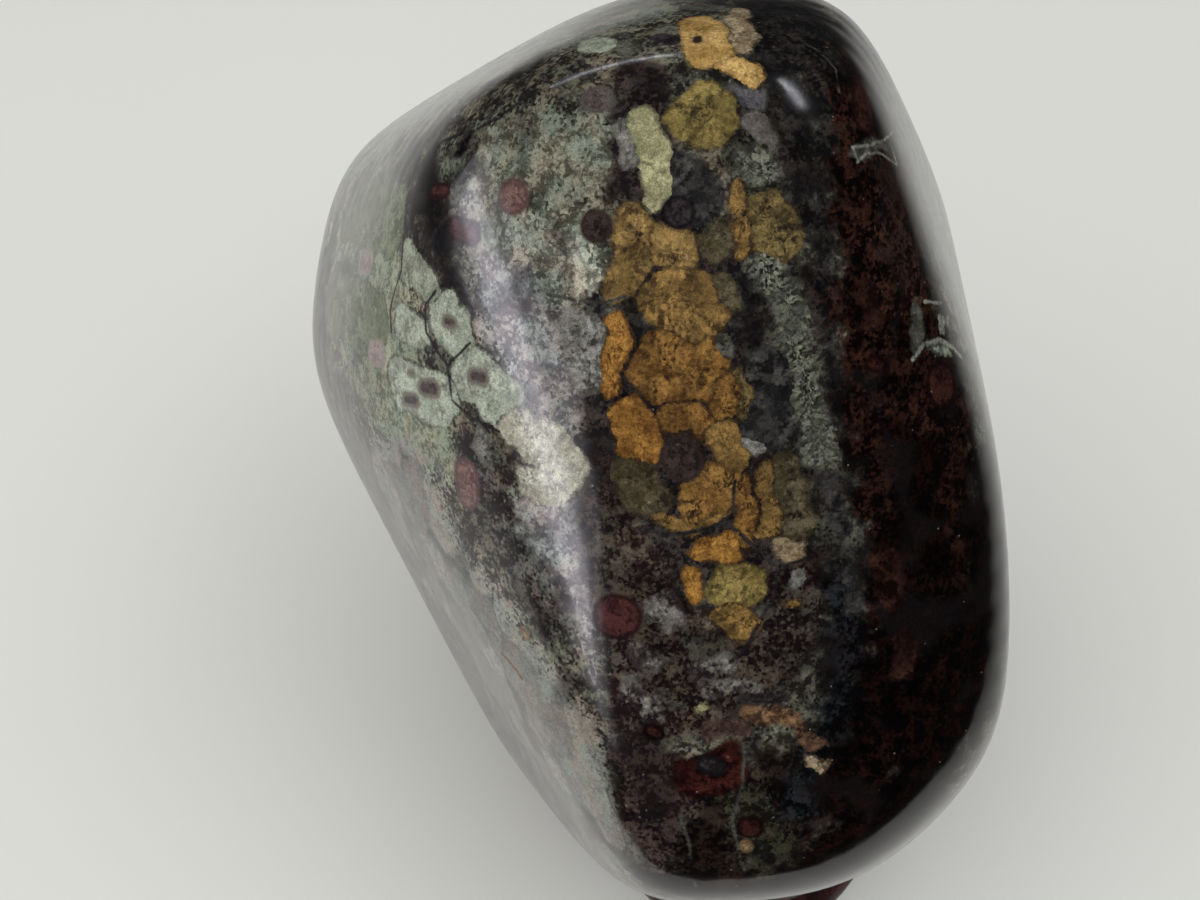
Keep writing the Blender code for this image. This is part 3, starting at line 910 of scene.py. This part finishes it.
gap, kind = nearest_of(calmer, "seam", SEAMS_COMPARED)[:2]
darks, lights = [[values[i] for values in SEAM_KINDS.values()] for i in range(2)]
seam_colour = speckled(of_kind(kind, darks)[0], of_kind(kind, lights)[0], 0.5, speckle)
colour = laid_over(colour, seam_colour, gap, VEIN_SOFTNESS)

# Grit, finer than the grains, over everything.
grit = add_node("TexNoise", {"Vector": place, "Scale": 1 / GRIT_SIZE, "Detail": 1.0})
grit = add_node("MapRange", {"Value": grit, "From Min": 0.3, "From Max": 0.7, "To Min": 0.7, "To Max": 1.3})
colour = add_node("VectorMath", {"Vector": colour, "Scale": grit}, operation="SCALE")

# Tiny pale flaws: the middles of a few clear grains, where the polish left a pit.
is_flaw = add_node("MapRange", {"Value": from_grain_middle, "From Min": FLAW_REACH,
                                "From Max": FLAW_REACH / 2, "To Max": 0.5},
                   interpolation_type="SMOOTHSTEP")
is_clear = add_node("Math", {0: grains, 1: CLEAR_GRAIN}, operation="GREATER_THAN")
is_flaw = add_node("Math", {0: is_flaw, 1: is_clear}, operation="MULTIPLY")
colour = add_node("Mix", {"Factor": is_flaw, "A": colour, "B": linear(FLAW_COLOUR)}, data_type="RGBA")

polish = add_node("MapRange",
                  {"Value": speckle, "From Min": 0.4, "From Max": 0.6, "To Min": 0.16, "To Max": 0.09})
waves = add_node("TexNoise", {"Vector": place, "Scale": 1 / WAVE_SIZE, "Detail": 0.0})
waved = add_node("Bump", {"Height": waves, "Distance": WAVE_HEIGHT * MM, "Strength": 1.0})
shader = tree.nodes["Principled BSDF"]
tree.links.new(colour.outputs[2], shader.inputs["Base Color"])
tree.links.new(polish.outputs[0], shader.inputs["Roughness"])
tree.links.new(waved.outputs[0], shader.inputs["Normal"])
shader.inputs["IOR"].default_value = QUARTZ_IOR

stone_mesh.materials.clear()
stone_mesh.materials.append(jasper)
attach(stone, "root")
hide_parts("stone")

# The stand: an oval block of dark rosewood, moulded round its side, hollowed to the stone and oiled. It is
# the solid's own shape, with its mouldings shaded round.
SHARP_EDGE = math.radians(35)

# Rosewood: nearly black along its late wood and red-brown between, with long open pores. Oil rubbed into it
# gives it a satin shine.
FIGURE_SIZE = 4.5
FINE_GRAIN_SIZE = 0.45
GRAIN_STRETCH = 16.0
GRAIN_BEND_SIZE = 14.0
GRAIN_BEND_REACH = 2.5
FINE_GRAIN_IN_WOOD = 0.35
LATE_WOOD = "#160a0b"
EARLY_WOOD = "#412020"
PORE_COLOUR = "#0b0505"
PORE_SPACING = 0.8
PORE_SHARE = 0.2
OPEN_PORES = 0.45
PORE_DEPTH = 0.03

rosewood = bpy.data.materials.new("dark_rosewood")
rosewood.use_nodes = True
tree = rosewood.node_tree
metres = add_node("TexCoord").outputs["Object"]
place = add_node("VectorMath", {"Vector": metres, "Scale": 1 / MM}, operation="SCALE")
place = moved_by_noise(place, GRAIN_BEND_SIZE, GRAIN_BEND_REACH)
drawn_out = add_node("VectorMath", {0: place, 1: (1.0, 1 / GRAIN_STRETCH, 1.0)}, operation="MULTIPLY")
figure = add_node("TexNoise", {"Vector": drawn_out, "Scale": 1 / FIGURE_SIZE, "Detail": 4.0,
                               "Roughness": 0.6, "Distortion": 0.6})
fine_grain = add_node("TexNoise",
                      {"Vector": drawn_out, "Scale": 1 / FINE_GRAIN_SIZE, "Detail": 2.0, "Roughness": 0.6})
wood = add_node("Mix", {"Factor": FINE_GRAIN_IN_WOOD, "A": figure, "B": fine_grain})
is_early = add_node("MapRange", {"Value": wood, "From Min": 0.36, "From Max": 0.62},
                    interpolation_type="SMOOTHSTEP")
wood_colour = add_node("Mix", {"Factor": is_early, "A": linear(LATE_WOOD), "B": linear(EARLY_WOOD)},
                       data_type="RGBA")

# The pores: short open grooves along the grain, darker and duller than the wood.
pores = add_node("TexVoronoi", {"Vector": drawn_out, "Scale": 1 / PORE_SPACING})
in_pore = add_node("MapRange",
                   {"Value": pores.outputs["Distance"], "From Min": PORE_SHARE, "From Max": PORE_SHARE * 0.5},
                   interpolation_type="SMOOTHSTEP")
is_open = add_node("Math", {0: pores.outputs["Color"], 1: OPEN_PORES}, operation="GREATER_THAN")
in_pore = add_node("Math", {0: in_pore, 1: is_open}, operation="MULTIPLY")
in_pore_shown = add_node("Math", {0: in_pore, 1: 0.8}, operation="MULTIPLY")
wood_colour = add_node("Mix", {"Factor": in_pore_shown, "A": wood_colour, "B": linear(PORE_COLOUR)},
                       data_type="RGBA")
satin = add_node("MapRange",
                 {"Value": wood, "From Min": 0.35, "From Max": 0.65, "To Min": 0.3, "To Max": 0.42})
satin = add_node("Math", {0: in_pore, 1: 0.25, 2: satin}, operation="MULTIPLY_ADD")
hollow = add_node("Math", {0: fine_grain, 1: 0.3}, operation="MULTIPLY")
hollow = add_node("Math", {0: hollow, 1: in_pore}, operation="SUBTRACT")
grained_wood = add_node("Bump", {"Height": hollow, "Distance": PORE_DEPTH * MM, "Strength": 0.8})
shader = tree.nodes["Principled BSDF"]
tree.links.new(wood_colour.outputs[2], shader.inputs["Base Color"])
tree.links.new(satin.outputs[0], shader.inputs["Roughness"])
tree.links.new(grained_wood.outputs[0], shader.inputs["Normal"])

stand = merged_copy("stand", "oiled_stand")
stand.data.shade_smooth()
stand.data.set_sharp_from_angle(angle=SHARP_EDGE)
stand.data.materials.clear()
stand.data.materials.append(rosewood)
weighted = stand.modifiers.new("weighted", "WEIGHTED_NORMAL")
weighted.keep_sharp = True
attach(stand, "root")
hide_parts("stand")
